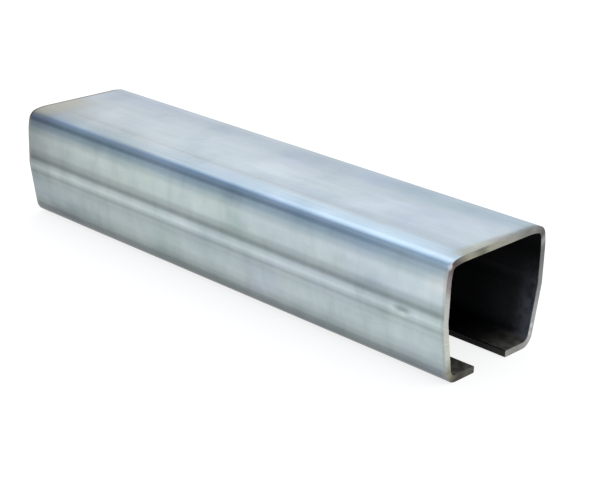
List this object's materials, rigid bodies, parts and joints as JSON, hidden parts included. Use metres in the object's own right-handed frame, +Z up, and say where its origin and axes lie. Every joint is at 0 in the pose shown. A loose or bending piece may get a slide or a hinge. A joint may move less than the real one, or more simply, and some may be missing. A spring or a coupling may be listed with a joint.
{
  "type": "c track",
  "caption": "Straight length of stainless C-section track with tapered lower walls, a ridge along each side and inturned lips either side of a slot for trolley wheels.",
  "frame": {"origin": "middle of the footprint, in the plane of the lips' undersides", "axes": "+X along the track, +Y across it, +Z up through the middle of the web"},
  "size_m": [0.173, 0.0422, 0.0355],
  "materials": {
    "stainless_steel": "mill finish with faint lengthwise rolling lines, saw-cut and deburred ends"
  },
  "bodies": {
    "root": {"c_track": "stainless_steel"}
  },
  "joints": []
}
